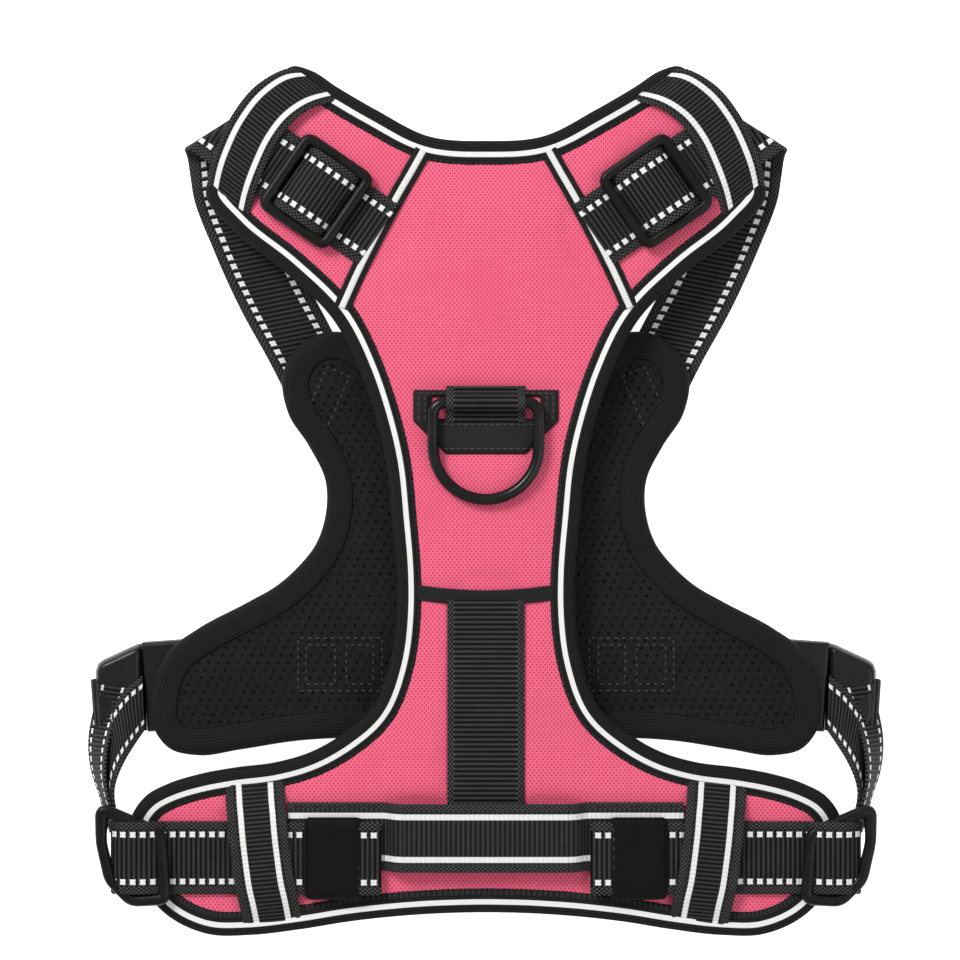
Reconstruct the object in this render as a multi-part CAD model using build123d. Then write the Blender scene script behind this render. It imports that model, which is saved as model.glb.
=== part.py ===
from build123d import *
import os

# A no pull dog harness lying flat: the chest panel below with its mesh side up, the back panel above it.
# Millimetres. +Y points to the neck, +X across the back, +Z up from the surface that it lies on.

# ---- driving dimensions ----
WEBBING_WIDTH = 32.0
WEBBING = 1.6           # thickness of one layer of webbing
KEEPER_WIDTH = 26.0
RING_WIRE = 2.5         # radius of a leash ring's wire
RING_HALF = 23.2        # half width of a leash ring, to the wire's centre
RING_REACH = 19.2       # from a ring's straight bar to the centre of its arc
CLEAR = 0.3             # gap between pieces that move on each other

# ---- levels of the two panels ----
COVER = 1.0
FOAM = 4.0
LINING = 0.8
BINDING = 0.6           # thickness of the edge binding
BINDING_WRAP = 8.0      # how far the binding reaches in over the faces
WALL = 1.0              # thickness of the binding round the panel's edge
OUTLINE_STEPS = 160     # points that an inset outline is redrawn through
CHEST_BASE = 12.0       # outer face of the chest cover
BACK_BASE = 25.6        # inner face of the back lining
CHEST_TOP = CHEST_BASE + COVER + FOAM + LINING
BACK_TOP = BACK_BASE + LINING + FOAM + COVER
STRAP_LEVEL = BACK_TOP + BINDING + 0.1
STRAP_TOP = STRAP_LEVEL + WEBBING

# ---- outlines of the right half, neck to rear ----
BACK_HALF = [
    (0, 158.5), (25, 160.5), (48, 172), (66, 182.5), (77, 189.5), (85, 191.5), (94, 184), (103, 168.5),
    (111, 153.5), (121, 145), (123.5, 135), (112, 119.5), (88, 100), (67, 79), (55, 55), (49, 37),
    (44, 16), (41.5, -8), (39.5, -33), (39.5, -49), (42.5, -72), (50.5, -92), (63, -103), (77, -111),
    (92, -115.5), (111, -118), (127, -121), (140, -125), (150, -130.5), (156.5, -140), (157, -152),
    (152, -170), (141, -183), (122, -191.7), (104, -192), (82, -189.5), (60, -186), (30, -183),
]
BACK_REAR = (0, -182)
CHEST_HALF = [
    (0, 48), (25, 52), (46, 64), (66, 75), (80, 71.5), (90.5, 56), (88, 38), (79, 24), (71.5, 8),
    (72, -9), (76, -20), (83, -29), (93, -38), (106, -45.5), (128.5, -57.5), (140, -66), (148, -82),
    (148.5, -101), (141, -111), (128, -114), (110, -111.5), (84, -107.5), (55, -106),
]
CHEST_REAR = (0, -107)

# ---- places on the back panel ----
SEAM_TOP = (20.3, 168)          # shoulder seam, a straight line down to SEAM_FOOT
SEAM_FOOT = (65.6, 80)
WAIST_Y = -43.0
WAIST_HALF = 31.2
TAPE_WIDTH = 6.4
SPINE_WIDTH = 34.0
RING_Y = 42.7                   # straight bar of the back ring
PATCH_TOP = 48.4
PATCH_FOOT = 20.2
PATCH_HALF = 32.0
PATCH_CUT = 14.5
CHEST_RING_Y = 22.0             # straight bar of the chest ring
HANDLE_TOP = -133.0
HANDLE_FOOT = -163.0
HANDLE_FREE = 46.0              # half length of the handle between its sewn ends
HANDLE_RISE = 6.8               # clear height under the handle's grip
GRIP = 2.2
GRIP_HALF = 36.0

# ---- straps ----
SHOULDER_ANGLE = 34.5
SHOULDER_SLIDE = (74.5, 135.5)
STRAP_START = 33.0              # from the slide's centre back to the seam
GIRTH_Y = -157.3
GIRTH_OUT = 172.0
GIRTH_SLIDE = (153.0, -156.4)
GIRTH_SLIDE_ANGLE = -12.0
LOOP_OUT = 169.0                # middle of the loop's bulge
LOOP_Y = -120.5
LOOP_RADIUS = 36.0
LOOP_TILT = 57.0
LOOP_SWEEP = 38.0               # angle of the bulge about its own centre

# ---- side-release buckles, drawn with u pointing outward from the joint of the two halves ----
BUCKLE_SEAM = (153.0, -84.0)
BUCKLE_ANGLE = -4.0
BUCKLE_HALF = 20.0
BUCKLE_HEIGHT = 11.2
CHEST_WEBBING_Y = -81.8      # in line with the socket bars, which lean with the buckles
SOCKET_LENGTH = 38.0
PLUG_LENGTH = 22.0
CAVITY_LOW = 3.0
CAVITY_HIGH = 8.6
PRONG_LENGTH = 19.5
BAR_LOW = 2.6           # height of the plug's webbing bar
BAR_HIGH = 8.6


def write(node, *solids):
    """Write one named piece, or one group of like pieces."""
    flat = [solid for item in solids for solid in item.solids()]
    export_step(Compound(children=flat) if len(flat) > 1 else flat[0], "parts/" + node + ".step")


def write_pair(node, right):
    """Write a right piece and its mirror image on the left."""
    write(node + "_right", right)
    write(node + "_left", mirror(right, about=Plane.YZ))


def outline(half, rear):
    """Closed smooth outline from the points of its right half."""
    left = [(-x, y) for x, y in reversed(half[1:])]
    points = [Vector(x, y) for x, y in half + [rear] + left]
    return make_face(Spline(*points, periodic=True))


def inset(face, distance):
    """The same outline moved inward, redrawn as one smooth curve."""
    edge = offset(face, -distance).faces()[0].outer_wire()
    points = [edge.position_at(step / OUTLINE_STEPS) for step in range(OUTLINE_STEPS)]
    return make_face(Spline(*points, periodic=True))


def slab(face, low, high):
    """A flat layer of a plan outline between two levels."""
    return extrude(Pos(0, 0, low) * face, high - low)


def box(x0, x1, y0, y1, z0, z1):
    return Pos((x0 + x1) / 2, (y0 + y1) / 2, (z0 + z1) / 2) * Box(x1 - x0, y1 - y0, z1 - z0)


def bent_strip(points, thickness, bend, across0, across1, plane=Plane.XZ):
    """A strip of webbing that follows a bent path, drawn in XZ and running across Y."""
    path = FilletPolyline(*points, radius=bend)
    face = plane * trace(path, thickness)
    strip = extrude(face, (across1 - across0) / 2, both=True)
    middle = (across0 + across1) / 2
    return Pos(0, middle, 0) * strip if plane == Plane.XZ else Pos(middle, 0, 0) * strip


# ---- panels ----

def edge_binding(face, low, high):
    """A tape folded round the edge of a panel, a C in section."""
    wall = slab(face, low, high) - slab(inset(face, WALL), low - 1, high + 1)
    wrap = face - inset(face, BINDING_WRAP)
    return wall + slab(wrap, low - BINDING, low) + slab(wrap, high, high + BINDING)


def back_panel():
    face = outline(BACK_HALF, BACK_REAR)
    body = inset(face, WALL + 0.05)
    lining_top = BACK_BASE + LINING
    write("back_lining", slab(body, BACK_BASE, lining_top))
    write("back_foam", slab(body, lining_top, lining_top + FOAM))
    write("back_binding", edge_binding(face, BACK_BASE, BACK_TOP))
    far = 220.0
    shoulder = make_face(Polyline(SEAM_TOP, SEAM_FOOT, (far, 80), (far, far), (20.3, far), SEAM_TOP))
    rear = Pos(0, WAIST_Y - far / 2) * Rectangle(2 * far, far)
    centre = body - shoulder - mirror(shoulder, about=Plane.YZ) - rear
    low = BACK_TOP - COVER
    write("back_cover_centre", slab(centre, low, BACK_TOP))
    write("back_cover_rear", slab(body & rear, low, BACK_TOP))
    write_pair("back_cover_shoulder", slab(body & shoulder, low, BACK_TOP))


def chest_panel():
    face = outline(CHEST_HALF, CHEST_REAR)
    body = inset(face, WALL + 0.05)
    foam_low = CHEST_BASE + COVER
    write("chest_cover", slab(body, CHEST_BASE, foam_low))
    write("chest_foam", slab(body, foam_low, foam_low + FOAM))
    write("chest_lining", slab(body, foam_low + FOAM, CHEST_TOP))
    write("chest_binding", edge_binding(face, CHEST_BASE, CHEST_TOP))


def seam_trims():
    """Piping over the shoulder seams, tape over the waist seam, webbing down the spine."""
    seam = trace(Line((29.5, 150.1), (59.5, 91.9)), 7.5)
    write_pair("shoulder_piping", slab(seam, BACK_TOP, BACK_TOP + 0.6))
    tape_low = WAIST_Y - TAPE_WIDTH / 2
    tape = box(-WAIST_HALF, WAIST_HALF, tape_low, tape_low + TAPE_WIDTH, BACK_TOP, BACK_TOP + 0.8)
    write("waist_seam_tape", tape)
    half = SPINE_WIDTH / 2
    write("spine_webbing", box(-half, half, -150, tape_low, BACK_TOP, BACK_TOP + WEBBING))


# ---- leash rings ----

def d_ring(bar_y, z):
    """A closed D of round wire, its straight bar towards the neck."""
    corner = 5.0
    foot = bar_y - RING_REACH
    path = (
        Line((0, bar_y), (RING_HALF - corner, bar_y))
        + RadiusArc((RING_HALF - corner, bar_y), (RING_HALF, bar_y - corner), corner)
        + Line((RING_HALF, bar_y - corner), (RING_HALF, foot))
        + ThreePointArc((RING_HALF, foot), (0, foot - RING_HALF), (-RING_HALF, foot))
        + Line((-RING_HALF, foot), (-RING_HALF, bar_y - corner))
        + RadiusArc((-RING_HALF, bar_y - corner), (-RING_HALF + corner, bar_y), corner)
        + Line((-RING_HALF + corner, bar_y), (0, bar_y))
    )
    section = Plane(origin=(0, bar_y, 0), z_dir=(1, 0, 0)) * Circle(RING_WIRE)
    return Pos(0, 0, z) * sweep(section, path=path)


def ring_loop(bar_y, z, face_z):
    """Webbing folded round the ring's bar and sewn down flat."""
    inner = RING_WIRE + 0.2
    turn = Plane.YZ * (Pos(bar_y, z) * (Circle(inner + 1.3) - Circle(inner)))
    foot_low, foot_high = sorted((face_z, z + (inner if face_z > z else -inner)))
    foot = box(-17.5, 17.5, bar_y - 5.6, bar_y + 5.2, foot_low, foot_high)
    hollow = Plane.YZ * (Pos(bar_y, z) * Circle(inner))
    return extrude(turn, 17.5, both=True) + foot - extrude(hollow, 20, both=True)


def ring_patch(bar_y, low):
    """Reinforcing patch with its lower corners cut off and a window for the loop."""
    top = bar_y + PATCH_TOP - RING_Y
    foot = bar_y + PATCH_FOOT - RING_Y
    half = PATCH_HALF
    points = [
        (-half, top), (half, top), (half, foot + PATCH_CUT), (half - PATCH_CUT, foot),
        (PATCH_CUT - half, foot), (-half, foot + PATCH_CUT),
    ]
    face = make_face(Polyline(*points, close=True))
    window = Pos(0, bar_y - 2.4) * Rectangle(48, 10.1)
    loop = Pos(0, bar_y - 0.2) * Rectangle(35.2, 11)
    return slab(face - window - loop, low, low + 1.2)


def rings():
    back_z = BACK_TOP + WEBBING + RING_WIRE + 0.2
    write("back_ring_patch", ring_patch(RING_Y, BACK_TOP))
    write("back_ring_loop", ring_loop(RING_Y, back_z, BACK_TOP))
    write("back_ring", d_ring(RING_Y, back_z))
    chest_z = CHEST_BASE - WEBBING - RING_WIRE - 0.2
    write("chest_ring_patch", ring_patch(CHEST_RING_Y, CHEST_BASE - 1.2))
    write("chest_ring_loop", ring_loop(CHEST_RING_Y, chest_z, CHEST_BASE))
    write("chest_ring", d_ring(CHEST_RING_Y, chest_z))


# ---- shoulder straps ----

def along_shoulder(shape):
    """Place a shape drawn about a slide's centre, strap running along X, on the right shoulder."""
    return Pos(SHOULDER_SLIDE[0], SHOULDER_SLIDE[1], 0) * Rot(0, 0, SHOULDER_ANGLE) * shape


def shoulder_strap():
    """The strap over the shoulder, folded round the wing's tip and led down to the chest panel."""
    half = WEBBING_WIDTH / 2
    upper_end = Vector(101.5, 172.5)
    lower_end = Vector(130.5, 154.0)
    corners = [along_shoulder(Pos(-STRAP_START, side, 0)).position for side in (half, -half)]
    upper = make_face(Polyline(corners[1], corners[0], upper_end, lower_end, close=True))
    lower = make_face(Polyline(
        upper_end, lower_end, (129.5, 134), (121, 111), (108.5, 83), (97, 62), (85, 38),
        (57, 52), (70, 78), (80, 97), (92, 124), (99, 146), close=True))
    under = BACK_BASE - 1.2 - WEBBING
    fold_radius = (STRAP_TOP - under) / 2
    run = upper_end - lower_end
    fold_plane = Plane(origin=(lower_end.X, lower_end.Y, under + fold_radius), z_dir=run, x_dir=(0, 0, 1))
    ring = fold_plane * (Circle(fold_radius) - Circle(fold_radius - WEBBING))
    fold = extrude(ring, run.length)
    outside = Polyline(lower_end, upper_end, upper_end + Vector(9, 14), lower_end + Vector(9, 14), close=True)
    fold = fold & slab(make_face(outside), 0, 60)
    flat = under + WEBBING / 2
    seated = CHEST_BASE - BINDING - WEBBING / 2 - 0.1
    fall = bent_strip([(190, flat), (146, flat), (84, seated), (40, seated)], WEBBING, 8, 60, 140, Plane.YZ)
    return slab(upper, STRAP_LEVEL, STRAP_TOP) + fold + (fall & slab(lower, 0, 60))


def shoulder_keeper():
    """A curved band of webbing that bridges the strap at the wing's tip."""
    arc = ThreePointArc((77.5, 181), (102, 164.5), (114, 140))
    band = trace(arc, KEEPER_WIDTH - 2)
    corridor = along_shoulder(Pos(20, 0, 0) * Rectangle(90, WEBBING_WIDTH + 1.2))
    low = STRAP_TOP + CLEAR
    return slab(band, low, low + 1.4) + slab(band - corridor, STRAP_LEVEL, low)


def slide_frame(length, width, window_length, window_width):
    """A rectangular slide with a bar across its middle, drawn flat from z = 0."""
    thick = 4.0
    frame = slab(RectangleRounded(length, width, 3.5), 0, thick)
    frame = fillet(frame.edges().filter_by(GeomType.LINE, reverse=False).group_by(Axis.Z)[-1], 1.2)
    window = slab(RectangleRounded(window_length, window_width, 2.0), -1, thick + 1)
    bar = Pos(0, 0, 1.9) * (Rot(90, 0, 0) * Cylinder(1.4, window_width + 0.6))
    return frame - window + bar


def slide_turn(window_length, width, crest):
    """The webbing that lies over the slide's middle bar and dips into the window on each side."""
    reach = window_length / 2 - 1.6
    path = [(-reach, 1.0), (-crest, 4.2), (crest, 4.2), (reach, 1.0)]
    return bent_strip(path, 1.3, 3, -width / 2, width / 2)


def shoulders():
    write_pair("shoulder_strap", shoulder_strap())
    write_pair("shoulder_keeper", shoulder_keeper())
    level = Pos(0, 0, STRAP_TOP + CLEAR)
    write_pair("shoulder_slide", along_shoulder(level * slide_frame(37.5, 38.8, 29.0, 32.6)))
    write_pair("shoulder_turn", along_shoulder(level * slide_turn(29.0, 31.0, 3.4)))


# ---- girth straps, handle and keepers ----

def girth_strap():
    """One strap, stepped up where it lies over the sewn end of the handle."""
    half = WEBBING_WIDTH / 2
    low = STRAP_LEVEL + WEBBING / 2
    high = low + WEBBING + 0.2
    path = [(HANDLE_FREE, high), (90, high), (95, low), (GIRTH_OUT, low)]
    return bent_strip(path, WEBBING, 3, GIRTH_Y - half, GIRTH_Y + half)


def strap_wrap():
    """Smooth band over the strap's folded end."""
    top = STRAP_TOP + WEBBING + 0.2
    cap = box(54, 79.5, GIRTH_Y - 18.5, GIRTH_Y + 16.6, top, top + 1.2)
    flap = box(54, 79.5, GIRTH_Y - 18.5, GIRTH_Y - 16.4, STRAP_LEVEL, top)
    return cap + flap


def girth_keeper():
    """A straight band over the girth strap, sewn to the panel at both ends."""
    top, foot = Vector(102, -125), Vector(95, -185)
    band = trace(Line(top, foot), KEEPER_WIDTH)
    corridor = Pos(100, GIRTH_Y) * Rectangle(90, WEBBING_WIDTH + 1.0)
    low = STRAP_TOP + WEBBING + 0.5
    beside = slab(band - corridor, STRAP_LEVEL, low + 1.4)
    return slab(band, low, low + 1.4) + beside


def handle_riser():
    """The stretch that climbs from the sewn end to the grip."""
    low = STRAP_LEVEL + WEBBING / 2
    high = BACK_TOP + HANDLE_RISE + GRIP / 2
    path = [(HANDLE_FREE - 0.1, low), (HANDLE_FREE - 2.5, low), (GRIP_HALF + 2.5, high), (GRIP_HALF + 0.3, high)]
    return bent_strip(path, WEBBING, 1.5, HANDLE_FOOT, HANDLE_TOP)


def rear():
    write_pair("girth_strap", girth_strap())
    write_pair("strap_wrap", strap_wrap())
    write_pair("girth_keeper", girth_keeper())
    end = box(HANDLE_FREE, 87, HANDLE_FOOT, HANDLE_TOP, STRAP_LEVEL, STRAP_TOP)
    write_pair("handle_end", end)
    write_pair("handle_riser", handle_riser())
    grip_low = BACK_TOP + HANDLE_RISE
    write("handle_grip", box(-GRIP_HALF, GRIP_HALF, HANDLE_FOOT, HANDLE_TOP, grip_low, grip_low + GRIP))
    place = Pos(GIRTH_SLIDE[0], GIRTH_SLIDE[1], STRAP_TOP + CLEAR) * Rot(0, 0, -GIRTH_SLIDE_ANGLE)
    write_pair("girth_slide", place * slide_frame(36.0, 42.0, 26.0, 34.4))
    straight = Pos(GIRTH_SLIDE[0], GIRTH_Y, STRAP_TOP + CLEAR)
    write_pair("girth_turn", straight * slide_turn(21.0, 30.0, 5.6))
    write_pair("girth_loop", girth_loop())


def girth_loop():
    """Two layers of webbing on edge, bulging outward between the slide and the buckle."""
    axis = Axis((LOOP_OUT - LOOP_RADIUS, LOOP_Y, 0), (0, 0, 1))
    layers = []
    for side in (-1.4, 1.4):
        layer = Pos(LOOP_OUT, 19.5) * Rot(0, 0, -LOOP_TILT) * Pos(0, side) * Rectangle(31.0, WEBBING)
        section = Pos(0, LOOP_Y, 0) * (Plane.XZ * layer)
        layers.append(revolve(section.rotate(axis, -LOOP_SWEEP / 2), axis, LOOP_SWEEP))
    return layers[0] + layers[1]


# ---- side-release buckles ----

def at_buckle(shape):
    """Place a shape drawn about the joint of the buckle's halves on the right side."""
    return Pos(BUCKLE_SEAM[0], BUCKLE_SEAM[1], 0) * Rot(0, 0, BUCKLE_ANGLE) * shape


def socket():
    """Hollow half: a shell with side windows for the prongs and a bar for the chest webbing."""
    half = BUCKLE_HALF
    shell = make_face(Polyline(
        (-SOCKET_LENGTH, -half + 2), (-SOCKET_LENGTH + 5, -half), (-0.2, -half), (-0.2, half),
        (-SOCKET_LENGTH + 5, half), (-SOCKET_LENGTH, half - 2), close=True))
    body = slab(shell, 0, BUCKLE_HEIGHT)
    body = fillet(body.edges().group_by(Axis.Z)[-1] + body.edges().group_by(Axis.Z)[0], 1.8)
    body -= box(-26, 1, 3.2 - half, half - 3.2, CAVITY_LOW, CAVITY_HIGH)
    body -= box(-21, 1, -half - 1, half + 1, CAVITY_LOW, CAVITY_HIGH)
    body -= box(-34.5, -29.5, -17.2, 17.2, -1, BUCKLE_HEIGHT + 1)
    body -= box(-SOCKET_LENGTH - 1, -34, -half - 1, half + 1, CAVITY_HIGH + 0.6, BUCKLE_HEIGHT + 1)
    return body - box(-SOCKET_LENGTH - 1, -34, -half - 1, half + 1, -1, CAVITY_LOW)


def plug():
    """Solid half: a tapered base with a bar for the girth strap and a middle guide."""
    end = 18.6
    base = make_face(Polyline(
        (0.2, -BUCKLE_HALF), (9, 0.6 - BUCKLE_HALF), (PLUG_LENGTH - 2, -end), (PLUG_LENGTH, 2 - end),
        (PLUG_LENGTH, end - 2), (PLUG_LENGTH - 2, end), (9, BUCKLE_HALF - 0.6), (0.2, BUCKLE_HALF), close=True))
    body = slab(base, 0.6, BUCKLE_HEIGHT - 0.6)
    body = fillet(body.edges().group_by(Axis.Z)[-1] + body.edges().group_by(Axis.Z)[0], 1.6)
    body -= box(11.5, 17.0, 2.2 - end, end - 2.2, -1, BUCKLE_HEIGHT + 1)
    for low, high in ((-1, BAR_LOW), (BAR_HIGH, BUCKLE_HEIGHT + 1)):
        body -= box(14.5, PLUG_LENGTH + 1, -20, 20, low, high)
    guide = box(-23, 0.5, -4, 4, CAVITY_LOW + 0.4, CAVITY_HIGH - 0.4)
    return body + guide


def prong(side):
    """Springy arm with a thumb pad that fills the socket's side window."""
    arm = Polyline(
        (-0.3, 12.6), (-0.3, 15.4), (-9.5, 15.6), (-11, 19.8), (-PRONG_LENGTH + 2, 19.8), (-PRONG_LENGTH, 17.5),
        (-PRONG_LENGTH, 13.2), close=True)
    solid = slab(make_face(arm), CAVITY_LOW + 0.4, CAVITY_HIGH - 0.4)
    return solid if side > 0 else mirror(solid, about=Plane.XZ)


def plug_turn():
    """The girth strap's turn round the plug's bar."""
    centre = Pos(19.5, (BAR_LOW + BAR_HIGH) / 2)
    tall = BAR_HIGH - BAR_LOW + 0.4
    outer = Plane.XZ * (centre * RectangleRounded(8.4, tall + 3, 2.2))
    inner = Plane.XZ * (centre * RectangleRounded(5.4, tall, 0.6))
    return extrude(outer - inner, WEBBING_WIDTH / 2, both=True)


def chest_webbing():
    """Webbing across the chest panel, its ends turned round the socket bars."""
    low = CHEST_WEBBING_Y - WEBBING_WIDTH / 2
    high = CHEST_WEBBING_Y + WEBBING_WIDTH / 2
    level = CHEST_BASE - BINDING - 0.1 - WEBBING / 2
    slot = BUCKLE_SEAM[0] - 32.0
    side = [(100, level), (slot, level), (slot, 1.4), (slot - 8, 1.4), (slot - 15, level - WEBBING)]
    right = bent_strip(side, WEBBING, 1.0, low, high)
    middle = box(-100, 100, low, high, level - 0.8, level + 0.8)
    return middle + right + mirror(right, about=Plane.YZ)


def buckles():
    write("chest_webbing", chest_webbing())
    write_pair("buckle_socket", at_buckle(socket()))
    write_pair("buckle_plug", at_buckle(plug()))
    write_pair("plug_turn", at_buckle(plug_turn()))
    write_pair("latch_front", at_buckle(prong(1)))
    write_pair("latch_rear", at_buckle(prong(-1)))


os.makedirs("parts", exist_ok=True)
back_panel()
chest_panel()
seam_trims()
rings()
shoulders()
rear()
buckles()
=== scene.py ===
"""Visual model of a padded vest harness lying flat, seen from straight above.

Lengths in this script are millimetres until make_mesh() turns them into metres.
"""
import math

import bmesh
import bpy
import numpy as np
from mathutils.geometry import delaunay_2d_cdt
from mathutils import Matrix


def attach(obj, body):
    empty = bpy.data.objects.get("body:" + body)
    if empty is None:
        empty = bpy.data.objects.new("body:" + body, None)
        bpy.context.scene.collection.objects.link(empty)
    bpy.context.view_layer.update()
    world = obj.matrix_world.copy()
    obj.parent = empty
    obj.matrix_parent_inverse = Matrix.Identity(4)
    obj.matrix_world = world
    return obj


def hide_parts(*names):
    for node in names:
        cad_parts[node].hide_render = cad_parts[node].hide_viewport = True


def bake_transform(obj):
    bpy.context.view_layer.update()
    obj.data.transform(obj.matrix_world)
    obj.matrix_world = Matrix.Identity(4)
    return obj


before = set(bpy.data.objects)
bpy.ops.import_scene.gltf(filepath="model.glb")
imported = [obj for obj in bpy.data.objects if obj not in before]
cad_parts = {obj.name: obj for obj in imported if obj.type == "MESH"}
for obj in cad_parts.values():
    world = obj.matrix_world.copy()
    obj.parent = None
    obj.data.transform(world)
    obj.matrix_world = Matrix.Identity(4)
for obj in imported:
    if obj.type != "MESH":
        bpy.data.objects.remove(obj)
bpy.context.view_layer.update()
scene = bpy.context.scene
SIDES = (("right", 1), ("left", -1))
PITCH = 2.15                # spacing of the ribs across the webbing
TAU = 2 * math.pi


# ---------------------------------------------------------------- camera and light

def set_camera():
    """Straight down, far enough away to keep the perspective gentle."""
    height = 1.30
    data = bpy.data.cameras.new("camera")
    data.sensor_width = 36
    data.lens = 36 * (height - 0.032) / 0.4224
    data.clip_end = 10
    camera = bpy.data.objects.new("camera", data)
    camera.location = (-0.0026, 0.0088, height)
    scene.collection.objects.link(camera)
    scene.camera = camera


def area_light(name, place, size, power):
    data = bpy.data.lights.new(name, "AREA")
    data.size = size
    data.energy = power
    light = bpy.data.objects.new(name, data)
    light.location = place
    aim = -light.location.normalized()
    light.rotation_euler = aim.to_track_quat("-Z", "Y").to_euler()
    scene.collection.objects.link(light)


def set_light():
    world = bpy.data.worlds.new("studio")
    world.use_nodes = True
    world.node_tree.nodes["Background"].inputs["Color"].default_value = (1, 1, 1, 1)
    world.node_tree.nodes["Background"].inputs["Strength"].default_value = 0.50
    scene.world = world
    area_light("key", (-0.9, 1.0, 1.3), 0.6, 24)
    area_light("fill", (1.1, -0.5, 1.4), 1.2, 7)
    scene.view_settings.view_transform = "Standard"


# ---------------------------------------------------------------- materials

class Paint:
    """A Principled material whose colour and relief are written as node arithmetic."""

    def __init__(self, name, rough, specular):
        self.material = bpy.data.materials.new(name)
        self.material.use_nodes = True
        self.tree = self.material.node_tree
        self.shader = self.tree.nodes["Principled BSDF"]
        self.shader.inputs["Roughness"].default_value = rough
        self.shader.inputs["Specular IOR Level"].default_value = specular

    def put(self, socket, value):
        if isinstance(value, bpy.types.NodeSocket):
            self.tree.links.new(value, socket)
        else:
            socket.default_value = value

    def math(self, operation, a, b=0.0):
        node = self.tree.nodes.new("ShaderNodeMath")
        node.operation = operation
        self.put(node.inputs[0], a)
        self.put(node.inputs[1], b)
        return node.outputs[0]

    def add(self, a, b):
        return self.math("ADD", a, b)

    def times(self, a, b):
        return self.math("MULTIPLY", a, b)

    def wave(self, value, length, shift=0.0):
        """0 to 1, once in each length."""
        angle = self.add(self.times(value, TAU / length), shift)
        return self.add(self.times(self.math("SINE", angle), 0.5), 0.5)

    def step(self, value, low, high):
        """0 below low, 1 above high."""
        node = self.tree.nodes.new("ShaderNodeMapRange")
        node.interpolation_type = "SMOOTHSTEP"
        self.put(node.inputs["Value"], value)
        node.inputs["From Min"].default_value = low
        node.inputs["From Max"].default_value = high
        return node.outputs["Result"]

    def near(self, value, middle, half, soft=0.15):
        away = self.math("ABSOLUTE", self.add(value, -middle))
        return self.math("SUBTRACT", 1.0, self.step(away, half - soft, half + soft))

    def mix(self, amount, a, b):
        node = self.tree.nodes.new("ShaderNodeMix")
        node.data_type = "RGBA"
        self.put(node.inputs["Factor"], amount)
        self.put(node.inputs[6], a)
        self.put(node.inputs[7], b)
        return node.outputs[2]

    def place(self):
        """x, y and z of the surface in millimetres."""
        coordinates = self.tree.nodes.new("ShaderNodeTexCoord")
        parts = self.tree.nodes.new("ShaderNodeSeparateXYZ")
        self.tree.links.new(coordinates.outputs["Object"], parts.inputs[0])
        return [self.times(parts.outputs[axis], 1000.0) for axis in range(3)]

    def along_across(self):
        """Distance along and across a strip in millimetres."""
        layer = self.tree.nodes.new("ShaderNodeUVMap")
        layer.uv_map = "cloth"
        parts = self.tree.nodes.new("ShaderNodeSeparateXYZ")
        self.tree.links.new(layer.outputs["UV"], parts.inputs[0])
        return parts.outputs[0], parts.outputs[1]

    def noise(self, size, detail=3.0):
        """Soft noise with features about this many millimetres wide."""
        coordinates = self.tree.nodes.new("ShaderNodeTexCoord")
        node = self.tree.nodes.new("ShaderNodeTexNoise")
        node.inputs["Scale"].default_value = 1000.0 / size
        node.inputs["Detail"].default_value = detail
        self.tree.links.new(coordinates.outputs["Object"], node.inputs["Vector"])
        return node.outputs["Fac"]

    def finish(self, colour, height, depth, strength):
        self.put(self.shader.inputs["Base Color"], colour)
        bump = self.tree.nodes.new("ShaderNodeBump")
        bump.inputs["Strength"].default_value = strength
        bump.inputs["Distance"].default_value = depth / 1000
        self.put(bump.inputs["Height"], height)
        self.tree.links.new(bump.outputs["Normal"], self.shader.inputs["Normal"])
        return self.material


def grey(value, warm=0.0):
    return (value * (1 + warm), value, value * (1 - warm), 1)


WHITE = (0.86, 0.86, 0.85, 1)


def webbing(name, half, rows=(), dash=0.0, mark=2.5, low=0.0025, high=0.062, pitch=PITCH):
    """Ribbed polyester webbing with woven edges, and rows of reflective marks at +-row."""
    p = Paint(name, 0.66, 0.10)
    along, across = p.along_across()
    side = p.math("ABSOLUTE", across)
    rib = p.wave(along, pitch)
    yarn = p.wave(across, 0.9)
    fuzz = p.noise(0.7)
    # The colour follows the ribs: lighter on the crests and darkest in the grooves between them, a painted highlight
    # and painted shade over the yarn and fuzz tone.
    tone = p.times(p.math("POWER", rib, 1.4), p.add(p.times(yarn, 0.35), p.add(0.3, p.times(fuzz, 0.7))))
    colour = p.mix(tone, grey(low), grey(high))
    knot = p.times(p.wave(along, pitch), p.wave(side, 1.7))
    knot = p.add(knot, p.times(p.wave(along, pitch, math.pi), p.wave(side, 1.7, math.pi)))
    edge = p.step(side, half - 3.6, half - 3.1)
    colour = p.mix(edge, colour, p.mix(p.step(knot, 0.35, 0.65), grey(low * 0.7), grey(high * 1.25)))
    colour = p.mix(p.times(p.noise(9.0), 0.45), colour, grey(low))
    marks = 0.0
    for row in rows:
        line = p.near(side, row, mark / 2)
        if dash:
            waist = p.times(p.math("ABSOLUTE", p.add(side, -row)), 0.12)
            line = p.times(line, p.step(p.add(p.wave(along, dash), waist), 0.40, 0.55))
        marks = p.math("MAXIMUM", marks, line)
    if rows:
        thread = p.mix(p.times(p.wave(along, 0.7), 0.35), WHITE, grey(0.55))
        colour = p.mix(marks, colour, thread)
    height = p.add(p.times(rib, 0.55), p.times(p.times(knot, edge), 0.6))
    height = p.add(height, p.add(p.times(fuzz, 0.25), p.times(yarn, 0.12)))
    return p.finish(colour, height, 0.30, 0.8)


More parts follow.
